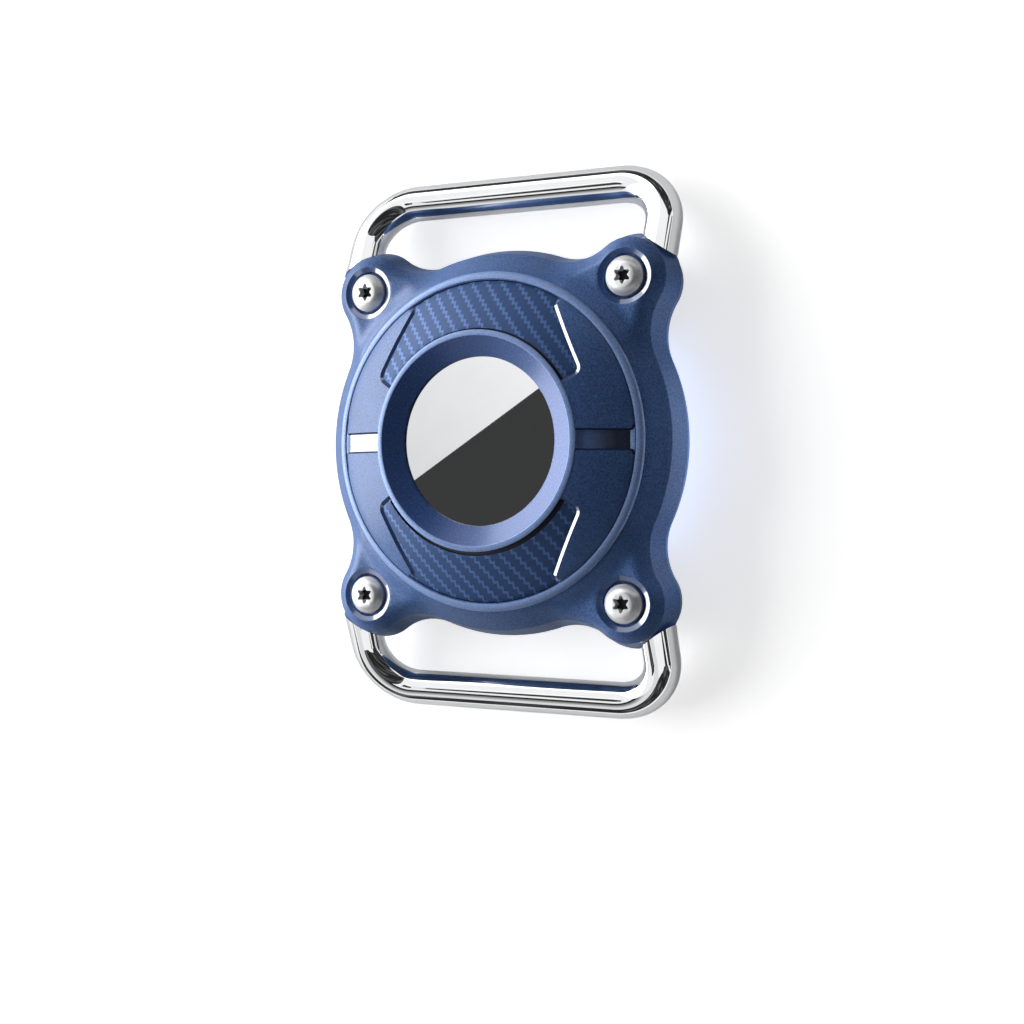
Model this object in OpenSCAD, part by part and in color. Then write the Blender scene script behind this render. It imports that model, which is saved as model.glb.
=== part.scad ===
// Sealed clamshell holder for a round tracker tag, with a wire strap loop at each end.
// The case lies on its back. +Z is the way its face looks, +Y runs from the lower loop to the
// upper loop, and the origin is the middle of the flat back. Lengths are in millimetres.

/* [Tag] */
// Diameter of the tag
tag_d = 31.9; // [30:0.1:34]
// Thickness of the tag
tag_t = 8; // [7.6:0.1:9]
// Diameter of the tag's steel cover
cover_d = 25.5; // [25:0.1:26]
// Thickness of the cover's steel sheet
cover_t = 0.6; // [0.4:0.05:0.8]
// Thickness of the tag's plastic shell under the cell
base_t = 1; // [0.8:0.05:1.2]
// Diameter of the coin cell
cell_d = 20; // [18:0.1:20.4]
// Thickness of the coin cell
cell_t = 3.2; // [2.8:0.05:3.3]
// Thickness of the tag's circuit board
board_t = 0.6; // [0.4:0.1:0.8]
// Turn that frees the tag's cover, in degrees
cover_turn = 30; // [20:1:40]
// Diameter of the speaker's magnet
magnet_d = 9.2; // [8:0.1:9.6]
// Width of the voice coil
coil_w = 0.7; // [0.5:0.05:0.8]
// Height of the voice coil
coil_h = 1.2; // [0.8:0.1:1.6]
// Width of the antenna carrier
carrier_w = 2; // [1.5:0.1:2.1]
// Length of the radio's shield, outwards
shield_l = 3.4; // [2.5:0.1:3.4]
// Width of the radio's shield
shield_w = 5; // [4:0.1:5.2]
// Height of the radio's shield
shield_h = 0.5; // [0.4:0.1:1]

/* [Case] */
// Play between the tag and the wall of its pocket
tag_gap = 0.35; // [0.25:0.05:0.6]
// Width of the wall outside the pocket, at the parting plane
wall_w = 5.05; // [5:0.05:6]
// Thickness of the back wall
back_t = 2.5; // [2:0.1:3.5]
// Thickness of the cushion under the tag
pad_t = 1.25; // [1:0.05:2]
// Diameter of the hole in the cushion
pad_hole_d = 9; // [4:0.5:16]
// Height of the parting plane over the back
part_z = 5.2; // [5:0.1:5.6]
// Inset of the drafted side wall over its height
side_in = 0.75; // [0.4:0.05:1]
// Height of the drafted side wall of the rear shell
rear_side_h = 2.7; // [2.2:0.1:3]
// Step of the rear shell's outline inside the front shell's
parting_step = 0.1; // [0.05:0.05:0.2]
// Height of the sloping shoulder under the ring bead
shoulder_h = 2.1; // [1.6:0.1:2.4]
// Width of the sloping shoulder
shoulder_in = 2.2; // [1.8:0.1:2.6]
// Height of the rear shell's locating rim
rim_h = 1.5; // [1:0.1:2]
// Width of the locating rim
rim_w = 1.1; // [0.9:0.1:1.3]
// Running fit of the locating rim
rim_fit = 0.05; // [0.02:0.01:0.1]

/* [Lobes and screws] */
// Distance of each screw outside the edge of the round body
screw_out = 1.81; // [1.7:0.01:2.2]
// Direction of each screw from X, in degrees
screw_a = 47.7; // [46:0.1:50]
// Radius of a lobe at the parting plane
lobe_r = 5; // [4.8:0.05:5.4]
// Radius of the fillet between a lobe and the round body
neck_r = 6; // [5:0.1:7]
// Drop of the lobes' top under the ring bead's foot
lobe_drop = 0.95; // [0.7:0.05:1.2]
// Distance of the lobe's end flat from the screw
flat_d = 4.4; // [4.2:0.05:4.6]
// Direction of the end flat's normal, in degrees from X
flat_a = 56; // [50:1:60]
// Thread diameter of the screws
screw_d = 2; // [1.8:0.1:2.2]
// Head diameter of the screws
head_d = 4.1; // [3.8:0.1:4.3]
// Height of the head's cylindrical edge
head_edge_h = 0.45; // [0.3:0.05:0.6]
// Height of the head's dome over its edge
head_dome_h = 1.1; // [0.8:0.05:1.2]
// Diameter of the flat on top of the dome
head_flat_d = 2.5; // [2.2:0.1:2.8]
// Depth of the six-lobe recess
recess_h = 0.8; // [0.5:0.05:1]
// Length of the screw under its head
shank_l = 6.5; // [6.2:0.1:6.8]
// Height of the head's seat over the parting plane
seat_h = 2.9; // [2.7:0.05:3]
// Radial play of the head in its counterbore
head_gap = 0.4; // [0.3:0.05:0.45]
// Radial play of the shank in the front shell and in the loop's eye
shank_gap = 0.3; // [0.3:0.05:0.4]
// Radial running fit of the screw in its insert
thread_fit = 0.05; // [0.02:0.01:0.1]
// Outer diameter of the threaded inserts
insert_d = 3.2; // [3:0.1:3.4]
// Length of the threaded inserts
insert_l = 3.1; // [2.8:0.1:3.2]

/* [Face] */
// Diameter of the window
window_d = 18.2; // [17:0.1:19]
// Thickness of the lip at the window's edge
lip_t = 0.34; // [0.3:0.02:0.5]
// Width of the bezel's cone, from the window to its crest
bezel_w = 2.17; // [1.8:0.05:2.3]
// Rise of the bezel's cone
bezel_h = 1.05; // [0.8:0.05:1.2]
// Width of the bezel's outer land, from crest to foot
land_w = 0.57; // [0.4:0.05:0.7]
// Drop over the bezel's outer land
land_drop = 0.14; // [0.1:0.02:0.3]
// Drop of the face from the crest to the ring bead's foot
face_drop = 3.19; // [3:0.05:3.4]
// Height of the domed panels' edge over the ring bead's foot
panel_edge_h = 0.6; // [0.45:0.05:0.7]
// Width of the ring bead
bead_w = 0.83; // [0.6:0.05:1]
// Height of the ring bead
bead_h = 0.5; // [0.35:0.05:0.6]
// Width of the fine groove inside the ring bead
bead_gap = 0.12; // [0.1:0.02:0.2]
// Height of that groove's floor over the bead's foot
bead_root_h = 0.2; // [0.1:0.05:0.3]
// Width of the side channels
channel_w = 1.9; // [1.5:0.1:2.3]
// Depth of the side channels
channel_h = 0.35; // [0.25:0.05:0.4]
// Thickness of the woven inlays
inlay_t = 0.35; // [0.3:0.05:0.4]
// Depth of the inlays' surface under the panels
inlay_drop = 0.28; // [0.2:0.02:0.3]
// Fitting gap round the inlays
inlay_fit = 0.06; // [0.04:0.01:0.1]
// Gap between the bezel's foot and the inlay's pocket
inlay_margin = 0.25; // [0.15:0.05:0.4]
// Angle of the inlay's short end over X, in degrees
inlay_foot_a = 30.4; // [26:0.2:34]
// Angle of the inlay's long edge where it meets the ring bead, in degrees over X
inlay_end_a = 62.5; // [58:0.5:66]
// Length of the inlay's short end
inlay_step = 2.15; // [1.7:0.05:2.6]
// Radius of the inlay's corner
inlay_corner = 0.9; // [0.5:0.05:1.1]

/* [Strap loops] */
// Diameter of the wire
wire_d = 4; // [3.6:0.1:4.1]
// Distance of each leg's axis outside its screw
leg_out = 2.65; // [2.4:0.05:2.8]
// Height of the strap slot, from the round body's edge to the bar
strap_gap = 4.85; // [4.6:0.05:7]
// Height of the bar's underside over the back
bar_lift = 0.15; // [0.05:0.05:0.3]
// Bend radius of the wire's centre line
bend_r = 5.6; // [4.5:0.1:6]
// Backward tilt of the loop, in degrees
loop_tilt = 23; // [21:0.5:24]
// Thickness of the flat eye round the screw
eye_t = 2; // [1.6:0.1:2.2]
// Wall of the eye outside its hole
eye_w = 1.6; // [1.3:0.1:1.7]
// Width of the tongue between the eye and the leg
tongue_w = 2.8; // [2.4:0.1:3]
// Play of the eye and its tongue in the front shell
eye_gap = 0.12; // [0.1:0.01:0.2]
// Play of the eye and its tongue in the rear shell
eye_seat_gap = 0.05; // [0.02:0.01:0.1]

/* [Seals] */
// Width of the body gasket
gasket_w = 1.3; // [1:0.1:1.5]
// Height of the body gasket
gasket_h = 1; // [0.8:0.05:1.2]
// Wall between the locating rim's fit and the gasket's groove
gasket_wall = 0.65; // [0.5:0.05:0.8]
// Width of the face gasket
face_gasket_w = 1.5; // [1.2:0.1:1.6]
// Height of the face gasket
face_gasket_h = 0.55; // [0.45:0.05:0.6]
// Play beside the gaskets in their grooves
gasket_play = 0.05; // [0.03:0.01:0.1]

/* [Hidden] */

$fn = 96;
// overlap that keeps cuts and joins clean
eps = 0.01;

// radii
tag_r = tag_d / 2;
pocket_r = tag_r + tag_gap;
body_r = pocket_r + wall_w;
ring_r = body_r - side_in - shoulder_in;
bead_in_r = ring_r - bead_w;
panel_r = bead_in_r - bead_gap;
window_r = window_d / 2;
crest_r = window_r + bezel_w;
foot_r = crest_r + land_w;
rim_r = pocket_r + rim_w;
gasket_in_r = rim_r + rim_fit + gasket_wall;
gasket_out_r = gasket_in_r + gasket_w;
face_gasket_out_r = foot_r;
face_gasket_in_r = face_gasket_out_r - face_gasket_w;

// heights
tag_z = back_t + pad_t;
face_z = tag_z + tag_t;
lip_z = face_z + gasket_play;
window_z = lip_z + lip_t;
crest_z = window_z + bezel_h;
foot_z = crest_z - land_drop;
ring_z = crest_z - face_drop;
panel_z = ring_z + panel_edge_h;
shoulder_z = ring_z - shoulder_h;
lobe_z = ring_z - lobe_drop;
rear_shoulder_z = part_z - rear_side_h;
seat_z = part_z + seat_h;

// the face is a spherical cap through the bezel's foot and the panels' edge
dome_cz = (panel_r * panel_r - foot_r * foot_r + panel_z * panel_z - foot_z * foot_z)
    / (2 * (panel_z - foot_z));
dome_r = sqrt(foot_r * foot_r + (foot_z - dome_cz) * (foot_z - dome_cz));
dome_steps = 12;

// outline of the case seen from above: a circle, four lobes and the fillets between them
screw_x = snap((body_r + screw_out) * cos(screw_a));
screw_y = snap((body_r + screw_out) * sin(screw_a));
screw_dist = norm([screw_x, screw_y]);
screw_dir = atan2(screw_y, screw_x);
neck_dist = body_r + neck_r;
lobe_neck_dist = lobe_r + neck_r;
neck_spread = acos((neck_dist * neck_dist + screw_dist * screw_dist - lobe_neck_dist * lobe_neck_dist)
    / (2 * neck_dist * screw_dist));

// screws and their seats
screw_r = screw_d / 2;
head_r = head_d / 2;
head_h = head_edge_h + head_dome_h;
counterbore_r = head_r + head_gap;
counterbore_land = 0.1;
rim_edge_r = lobe_r - inset_at(lobe_z) - counterbore_land;
counterbore_chamfer_h = 0.75;
clear_r = screw_r + shank_gap;
drive_r = 0.62;
drive_lobe_r = 0.25;
drive_lobe_d = 0.68;

// loops
wire_r = wire_d / 2;
leg_x = screw_x + leg_out;
bar_y = body_r + strap_gap + wire_r;
bar_z = wire_r + bar_lift;
eye_r = clear_r + eye_w;
// gap between the legs' ends and the lobes' end flats
leg_gap = 0.05;
// reach of the tongue into the leg
tongue_in = 1;
// length of the leg from the bar's centre line inwards, to a point well inside the lobe
leg_reach = (bar_y - screw_y) / cos(loop_tilt);

// threaded inserts stand under the eyes
insert_r = insert_d / 2;
insert_top = part_z - eye_t / 2 - eye_seat_gap - 0.05;
insert_bottom = insert_top - insert_l;

// the tag's inside
cover_r = cover_d / 2;
mouth_r = cover_r + 0.15;
cover_fall = 0.55;
cover_flat_r = cover_r - 1.15;
tab_r = mouth_r + 0.4;
tab_w = 3;
tab_h = 0.4;
tab_gap = 0.1;
tab_count = 3;
groove_r = tab_r + tab_gap;
tab_top = face_z - cover_fall - cover_t;
cell_r = cell_d / 2;
cell_top = face_z - cover_t - 0.4;
cell_z = cell_top - cell_t;
tray_t = 0.45;
tray_z = cell_z - tray_t;
tray_r = mouth_r - 0.2;
tray_wall = 0.6;
floor_z = tag_z + base_t;
board_z = tray_z - board_t;
board_out_r = tray_r - 0.1;
magnet_r = magnet_d / 2;
magnet_lift = 0.3;
coil_in_r = magnet_r + 0.3;
coil_out_r = coil_in_r + coil_w;
board_in_r = coil_out_r + 0.6;
carrier_in_r = board_out_r - carrier_w;
shield_gap = 0.2;
shield_out_x = snap(sqrt(pow(carrier_in_r - shield_gap, 2) - pow(shield_w / 2, 2)));
shield_x = shield_out_x - shield_l;
carrier_h = board_z - floor_z;

// a length rounded to a hundredth of a millimetre
function snap(v) = round(v * 100) / 100;

// inset of the front shell's outline at height z
function inset_at(z) = z <= shoulder_z
    ? side_in * (z - part_z) / (shoulder_z - part_z)
    : side_in + shoulder_in * (z - shoulder_z) / shoulder_h;

// height of the domed face at radius r
function dome_z(r) = dome_cz + sqrt(dome_r * dome_r - r * r);

// points of the domed face from radius a to radius b, lowered by d
function dome_points(a, b, d = 0) = [
    for (i = [0 : dome_steps])
        let (r = a + (b - a) * i / dome_steps) [r, dome_z(r) - d]
];

// points of the ring bead from its outer foot to its inner foot
function bead_points() = [
    for (a = [0 : 15 : 165])
        [bead_in_r + bead_w / 2 * (1 + cos(a)), ring_z + (bead_h + bead_root_h * a / 180) * sin(a)
            + bead_root_h * a / 180]
];

// plane vector at angle a
function dir(a) = [cos(a), sin(a)];

// corners of an inlay's plan, moved inwards by g
inlay_in_r = foot_r + inlay_margin;
inlay_out_r = panel_r - inlay_fit;
inlay_tip = (foot_r + inlay_step) * dir(inlay_foot_a);
inlay_end = inlay_out_r * dir(inlay_end_a);
inlay_edge_a = atan2(inlay_end[1] - inlay_tip[1], inlay_end[0] - inlay_tip[0]);
edge_n = dir(inlay_edge_a + 90);
foot_n = dir(inlay_foot_a + 90);
function inlay_point(g) = inlay_tip + g / (1 + edge_n * foot_n) * (edge_n + foot_n);

// one layer of the case between heights z0 and z1, inset from its outline by in0 and in1
module layer(z0, z1, in0, in1) {
    h = z1 - z0;
    // the fillets reach a hair into the body and the lobes, so that the surfaces cross
    fillet = neck_r + 0.01;
    translate([0, 0, z0]) {
        cylinder(h = h, r1 = body_r - in0, r2 = body_r - in1);
        for (sx = [-1, 1], sy = [-1, 1]) {
            translate([sx * screw_x, sy * screw_y, 0])
                cylinder(h = h, r1 = lobe_r - in0, r2 = lobe_r - in1);
            scale([sx, sy, 1])
                difference() {
                    linear_extrude(h)
                        polygon([
                            [0, 0],
                            neck_dist * dir(screw_dir - neck_spread),
                            [screw_x, screw_y],
                            neck_dist * dir(screw_dir + neck_spread)
                        ]);
                    for (s = [-1, 1])
                        translate(concat(neck_dist * dir(screw_dir + s * neck_spread), 0))
                            cylinder(h = h, r1 = fillet + in0, r2 = fillet + in1);
                }
        }
    }
}

// everything past the lobes' end flats, moved outwards by g
module past_flats(g) {
    for (sx = [-1, 1], sy = [-1, 1])
        scale([sx, sy, 1])
            translate([screw_x, screw_y, -1])
                rotate([0, 0, flat_a])
                    translate([flat_d + g, -15, 0])
                        cube([30, 30, crest_z + 2]);
}

// a copy of the children at each screw
module at_screws() {
    for (sx = [-1, 1], sy = [-1, 1])
        translate([sx * screw_x, sy * screw_y, 0])
            children();
}

// space above the domed face lowered by d, between radii a and b
module above_face(a, b, d) {
    rotate_extrude()
        polygon(concat(
            dome_points(a, b, d),
            [[b, crest_z + 1], [a, crest_z + 1]]
        ));
}

// plan of the upper inlay, smaller all round by g
module inlay_plan(g) {
    r = max(inlay_corner - g, 0.1);
    tip = inlay_point(g);
    c = inlay_point(g + r);
    on_edge = c - r * edge_n;
    on_foot = c - r * foot_n;
    far = tip + inlay_out_r * dir(inlay_edge_a);
    near = tip - (foot_r - window_r) * dir(inlay_foot_a) - inlay_step * dir(inlay_foot_a);
    intersection() {
        difference() {
            circle(r = inlay_out_r - g);
            circle(r = inlay_in_r + g);
        }
        for (s = [-1, 1])
            scale([s, 1]) {
                polygon([far, on_edge, c, on_foot, near, [-eps, near[1]], [-eps, far[1]]]);
                // a hair larger than the corner, so that its outline crosses the edges
                translate(c)
                    circle(r = r + 0.005);
            }
    }
}

// the space of the upper inlay under the panels' surface, from depth d0 down to d1
module inlay_block(g, d0, d1) {
    difference() {
        intersection() {
            translate([0, 0, ring_z - 2])
                linear_extrude(crest_z - ring_z + 3)
                    inlay_plan(g);
            above_face(inlay_in_r - 1, inlay_out_r + 1, d1);
        }
        if (d0 > 0)
            above_face(inlay_in_r - 2, inlay_out_r + 2, d0);
    }
}

// eye and tongue of one loop leg, grown by g, with a hole of radius hole_r if it has one
module leg_end(g, hole_r = 0) {
    translate([screw_x, screw_y, part_z - eye_t / 2 - g])
        linear_extrude(eye_t + 2 * g)
            difference() {
                union() {
                    circle(r = eye_r + g);
                    rotate(flat_a)
                        translate([0, -tongue_w / 2 - g])
                            square([flat_d + tongue_in, tongue_w + 2 * g]);
                }
                if (hole_r > 0)
                    circle(r = hole_r);
            }
}

// the front half of the case, with its bezel, ring bead, lobes and channels
module front_shell() {
    color("#3f62a6")
        difference() {
            union() {
                layer(part_z, shoulder_z, 0, side_in);
                layer(shoulder_z, lobe_z, side_in, inset_at(lobe_z));
                translate([0, 0, shoulder_z])
                    cylinder(h = shoulder_h, r1 = body_r - side_in, r2 = ring_r);
                rotate_extrude()
                    polygon(concat(
                        [[0, shoulder_z], [0, window_z], [window_r, window_z], [crest_r, crest_z]],
                        dome_points(foot_r, panel_r),
                        [[panel_r, ring_z + bead_root_h]],
                        [for (i = [len(bead_points()) - 1 : -1 : 0]) bead_points()[i]],
                        [[ring_r, shoulder_z]]
                    ));
            }
            past_flats(0);
            tag_space();
            inlay_block(0, 0, inlay_drop + inlay_t);
            rotate([0, 0, 180])
                inlay_block(0, 0, inlay_drop + inlay_t);
            channels();
            at_screws()
                screw_space();
            for (sx = [-1, 1], sy = [-1, 1])
                scale([sx, sy, 1])
                    leg_end(eye_gap);
        }
}

// what the front shell leaves free for the tag, its gasket, the window and the rear shell's rim
module tag_space() {
    cut_z = part_z - 1;
    lip_out_r = max(cover_r - 0.25, face_gasket_out_r + 0.3);
    edge_r = max(cover_r + 0.35, lip_out_r + 0.6);
    rotate_extrude()
        polygon([
            [0, cut_z],
            [rim_r + rim_fit, cut_z],
            [rim_r + rim_fit, part_z + rim_h + rim_fit],
            [pocket_r, part_z + rim_h + rim_fit],
            [pocket_r, face_z - 2.25],
            [tag_r - 0.85, face_z - 1.15],
            [tag_r - 1.85, face_z - 0.7],
            [edge_r, face_z - 0.25],
            [lip_out_r, lip_z],
            [face_gasket_out_r + gasket_play, lip_z],
            [face_gasket_out_r + gasket_play, face_z + face_gasket_h],
            [face_gasket_in_r - gasket_play, face_z + face_gasket_h],
            [face_gasket_in_r - gasket_play, lip_z],
            [window_r, lip_z],
            [window_r, crest_z + 1],
            [0, crest_z + 1]
        ]);
}

// the two side channels in the panels
module channels() {
    intersection() {
        translate([-bead_in_r, -channel_w / 2, ring_z - 1])
            cube([2 * bead_in_r, channel_w, crest_z]);
        above_face(foot_r, bead_in_r, channel_h);
    }
}

// one screw's counterbore, bevel and through hole
module screw_space() {
    translate([0, 0, part_z - 1])
        cylinder(h = seat_h + 2, r = clear_r);
    translate([0, 0, seat_z])
        cylinder(h = crest_z - seat_z, r = counterbore_r);
    translate([0, 0, lobe_z - counterbore_chamfer_h])
        cylinder(h = counterbore_chamfer_h + eps, r1 = counterbore_r, r2 = rim_edge_r);
    translate([0, 0, lobe_z])
        cylinder(h = crest_z - lobe_z, r = rim_edge_r);
}

// woven inlay above the window
module upper_inlay() {
    color("#5c7fc4")
        inlay_block(inlay_fit, inlay_drop, inlay_drop + inlay_t - eps);
}

// woven inlay below the window
module lower_inlay() {
    color("#5c7fc4")
        rotate([0, 0, 180])
            inlay_block(inlay_fit, inlay_drop, inlay_drop + inlay_t - eps);
}

// the rear half of the case, with the tag's pocket, locating rim and gasket groove
module rear_shell() {
    rear_in = side_in + rear_shoulder_z;
    color("#34548f")
        difference() {
            union() {
                layer(rear_shoulder_z, part_z, side_in, parting_step);
                layer(0, rear_shoulder_z, rear_in, side_in);
                translate([0, 0, part_z - 1])
                    cylinder(h = rim_h + 1, r = rim_r);
            }
            past_flats(0);
            translate([0, 0, back_t])
                cylinder(h = crest_z, r = pocket_r);
            translate([0, 0, part_z - gasket_h])
                difference() {
                    cylinder(h = gasket_h + 1, r = gasket_out_r + gasket_play);
                    translate([0, 0, -1])
                        cylinder(h = gasket_h + 3, r = gasket_in_r - gasket_play);
                }
            at_screws()
                translate([0, 0, insert_bottom])
                    cylinder(h = part_z, r = insert_r);
            for (sx = [-1, 1], sy = [-1, 1])
                scale([sx, sy, 1])
                    leg_end(eye_seat_gap);
        }
}

// one strap loop: bar, two bends, two tilted legs that stop at the lobes, tongues and eyes
module loop() {
    straight = leg_x - bend_r;
    translate([0, bar_y, bar_z])
        rotate([-loop_tilt, 0, 0]) {
            rotate([0, 90, 0])
                cylinder(h = 2 * straight, r = wire_r, center = true);
            for (s = [-1, 1])
                translate([s * straight, -bend_r, 0])
                    rotate([0, 0, s > 0 ? 0 : 90])
                        rotate_extrude(angle = 90)
                            translate([bend_r, 0])
                                circle(r = wire_r);
        }
    difference() {
        translate([0, bar_y, bar_z])
            rotate([-loop_tilt, 0, 0])
                for (s = [-1, 1])
                    translate([s * leg_x, -bend_r, 0])
                        rotate([90, 0, 0])
                            cylinder(h = leg_reach - bend_r, r = wire_r);
        before_flats();
    }
    for (s = [-1, 1])
        scale([s, 1, 1])
            leg_end(0, clear_r);
}

// everything on the case's side of the upper lobes' end flats
module before_flats() {
    for (s = [-1, 1])
        scale([s, 1, 1])
            translate([screw_x, screw_y, -1])
                rotate([0, 0, flat_a])
                    translate([-30 + flat_d + leg_gap, -6, 0])
                        cube([30, 12, crest_z + 2]);
}

// chrome wire loop above the case
module upper_loop() {
    color("#d9dbe0")
        loop();
}

// chrome wire loop below the case
module lower_loop() {
    color("#d9dbe0")
        rotate([0, 0, 180])
            loop();
}

// one domed screw with a six-lobe recess, seated at the origin's height seat_z
module screw(x, y) {
    color("#c9ccd2")
        translate([x, y, seat_z])
            difference() {
                union() {
                    rotate_extrude()
                        polygon([
                            [0, 0],
                            [head_r, 0],
                            [head_r, head_edge_h],
                            for (a = [15 : 15 : 75])
                                [head_flat_d / 2 + (head_r - head_flat_d / 2) * cos(a),
                                    head_edge_h + head_dome_h * sin(a)],
                            [head_flat_d / 2, head_h],
                            [0, head_h]
                        ]);
                    translate([0, 0, -shank_l + 0.3])
                        cylinder(h = shank_l, r = screw_r);
                    translate([0, 0, -shank_l])
                        cylinder(h = 0.3 + eps, r1 = screw_r - 0.3, r2 = screw_r);
                }
                translate([0, 0, head_h - recess_h]) {
                    cylinder(h = recess_h + 1, r = drive_r);
                    for (i = [0 : 5])
                        rotate([0, 0, 30 + 60 * i])
                            translate([drive_lobe_d, 0, 0])
                                cylinder(h = recess_h + 1, r = drive_lobe_r);
                }
            }
}

module screw_upper_left() {
    screw(-screw_x, screw_y);
}

module screw_upper_right() {
    screw(screw_x, screw_y);
}

module screw_lower_left() {
    screw(-screw_x, -screw_y);
}

module screw_lower_right() {
    screw(screw_x, -screw_y);
}

// four brass inserts in the rear shell, each with two grip grooves
module thread_inserts() {
    groove_h = 0.4;
    groove_in = 0.2;
    color("#c9a14a")
        at_screws()
            translate([0, 0, insert_bottom + eps])
                difference() {
                    cylinder(h = insert_l - eps, r = insert_r - eps);
                    translate([0, 0, -1])
                        cylinder(h = insert_l + 2, r = screw_r + thread_fit);
                    for (f = [1, 2])
                        translate([0, 0, f * insert_l / 3 - groove_h / 2])
                            difference() {
                                cylinder(h = groove_h, r = insert_r + 1);
                                translate([0, 0, -eps])
                                    cylinder(h = groove_h + 2 * eps, r = insert_r - groove_in);
                            }
                }
}

// rubber seal in the parting face
module body_gasket() {
    color("#202226")
        translate([0, 0, part_z - gasket_h])
            difference() {
                cylinder(h = gasket_h, r = gasket_out_r);
                translate([0, 0, -1])
                    cylinder(h = gasket_h + 2, r = gasket_in_r);
            }
}

// rubber ring between the bezel and the tag's steel face
module face_gasket() {
    color("#202226")
        translate([0, 0, face_z])
            difference() {
                cylinder(h = face_gasket_h, r = face_gasket_out_r);
                translate([0, 0, -1])
                    cylinder(h = face_gasket_h + 2, r = face_gasket_in_r);
            }
}

// soft ring under the tag
module cushion_pad() {
    color("#2b2d31")
        translate([0, 0, back_t])
            difference() {
                cylinder(h = pad_t, r = tag_r - 1.5);
                translate([0, 0, -1])
                    cylinder(h = pad_t + 2, d = pad_hole_d);
            }
}

// white plastic body of the tag, with a mouth for the cover and a groove for its tabs
module tag_base() {
    color("#f2f2f0")
        difference() {
            rotate_extrude()
                polygon([
                    [0, tag_z],
                    [tag_r - 6.4, tag_z],
                    [tag_r - 3.4, tag_z + 0.35],
                    [tag_r - 1.5, tag_z + 1.2],
                    [tag_r - 0.4, tag_z + 2.6],
                    [tag_r, tag_z + 4.2],
                    [tag_r - 0.25, tag_z + tag_t - 2.5],
                    [tag_r - 0.95, tag_z + tag_t - 1.5],
                    [tag_r - 1.9, tag_z + tag_t - 0.95],
                    [mouth_r, face_z - cover_fall],
                    [mouth_r, tab_top + tab_gap],
                    [groove_r, tab_top + tab_gap],
                    [groove_r, tab_top - tab_h - tab_gap],
                    [mouth_r, tab_top - tab_h - tab_gap],
                    [mouth_r, floor_z],
                    [0, floor_z]
                ]);
            // one entry notch for each tab
            for (i = [0 : tab_count - 1])
                rotate([0, 0, 90 + 360 * i / tab_count + cover_turn])
                    translate([mouth_r - 1, -tab_w / 2 - tab_gap, tab_top - tab_h / 2])
                        cube([groove_r + tab_gap - mouth_r + 1, tab_w + 2 * tab_gap, 3]);
        }
}

// polished steel cover of the tag, with its bayonet tabs
module tag_cover() {
    color("#c4c6ca")
        union() {
            rotate_extrude()
                polygon([
                    [0, face_z - cover_t],
                    [cover_flat_r - 0.2, face_z - cover_t],
                    [cover_r - cover_t, face_z - cover_fall - cover_t],
                    [cover_r - cover_t, tab_top - tab_h],
                    [cover_r, tab_top - tab_h],
                    [cover_r, face_z - cover_fall],
                    [cover_r - 0.25, face_z - 0.25],
                    [cover_flat_r, face_z],
                    [0, face_z]
                ]);
            for (i = [0 : tab_count - 1])
                rotate([0, 0, 90 + 360 * i / tab_count])
                    intersection() {
                        translate([0, 0, tab_top - tab_h])
                            difference() {
                                cylinder(h = tab_h, r = tab_r);
                                translate([0, 0, -1])
                                    cylinder(h = tab_h + 2, r = cover_r - cover_t / 2);
                            }
                        translate([0, -tab_w / 2, 0])
                            cube([tag_r, tab_w, face_z]);
                    }
        }
}

// plastic tray that carries the cell, with a ring wall round it
module battery_tray() {
    wall_in = cell_r + 0.25;
    color("#3a3c40")
        translate([0, 0, tray_z])
            difference() {
                union() {
                    cylinder(h = tray_t, r = tray_r);
                    cylinder(h = tray_t + cell_t * 0.55, r = wall_in + tray_wall);
                }
                translate([0, 0, tray_t])
                    cylinder(h = cell_t, r = wall_in);
                for (i = [0 : 2])
                    rotate([0, 0, 30 + 120 * i])
                        translate([cell_r - 0.6, -1.6, -1])
                            cube([tag_r, 3.2, tag_t]);
                translate([0, 0, -1])
                    cylinder(h = 3, r = 1.2);
            }
}

// coin cell, with the step between its can and its cap
module coin_cell() {
    color("#b9bcc2")
        rotate_extrude()
            polygon([
                [0, cell_z],
                [cell_r - 1.2, cell_z],
                [cell_r - 1.2, cell_z + 0.35],
                [cell_r - 0.35, cell_z + 0.35],
                [cell_r, cell_z + 0.7],
                [cell_r, cell_top - 0.3],
                [cell_r - 0.3, cell_top],
                [0, cell_top]
            ]);
}

// ring-shaped circuit board
module circuit_board() {
    color("#1f5a3a")
        translate([0, 0, board_z])
            difference() {
                cylinder(h = board_t, r = board_out_r);
                translate([0, 0, -1])
                    cylinder(h = board_t + 2, r = board_in_r);
                for (i = [0 : 2])
                    rotate([0, 0, 30 + 120 * i])
                        translate([board_out_r - 0.8, -1.5, -1])
                            cube([3, 3, board_t + 2]);
            }
}

// metal can over the radio, under the board
module radio_shield() {
    color("#a8abb0")
        translate([shield_x, -shield_w / 2, board_z - shield_h])
            cube([shield_l, shield_w, shield_h]);
}

// magnet of the speaker, fixed under the tray
module speaker_magnet() {
    color("#8c8f94")
        translate([0, 0, floor_z + magnet_lift])
            cylinder(h = tray_z - floor_z - magnet_lift, r = magnet_r);
}

// coil of the speaker, glued to the base
module voice_coil() {
    color("#b8763a")
        translate([0, 0, floor_z])
            difference() {
                cylinder(h = coil_h, r = coil_out_r);
                translate([0, 0, -1])
                    cylinder(h = coil_h + 2, r = coil_in_r);
            }
}

// plastic ring that carries the antennas, round the inside of the base
module antenna_carrier() {
    color("#d8d6cf")
        translate([0, 0, floor_z])
            difference() {
                cylinder(h = carrier_h, r = board_out_r);
                translate([0, 0, -1])
                    cylinder(h = carrier_h + 2, r = carrier_in_r);
            }
}

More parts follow.
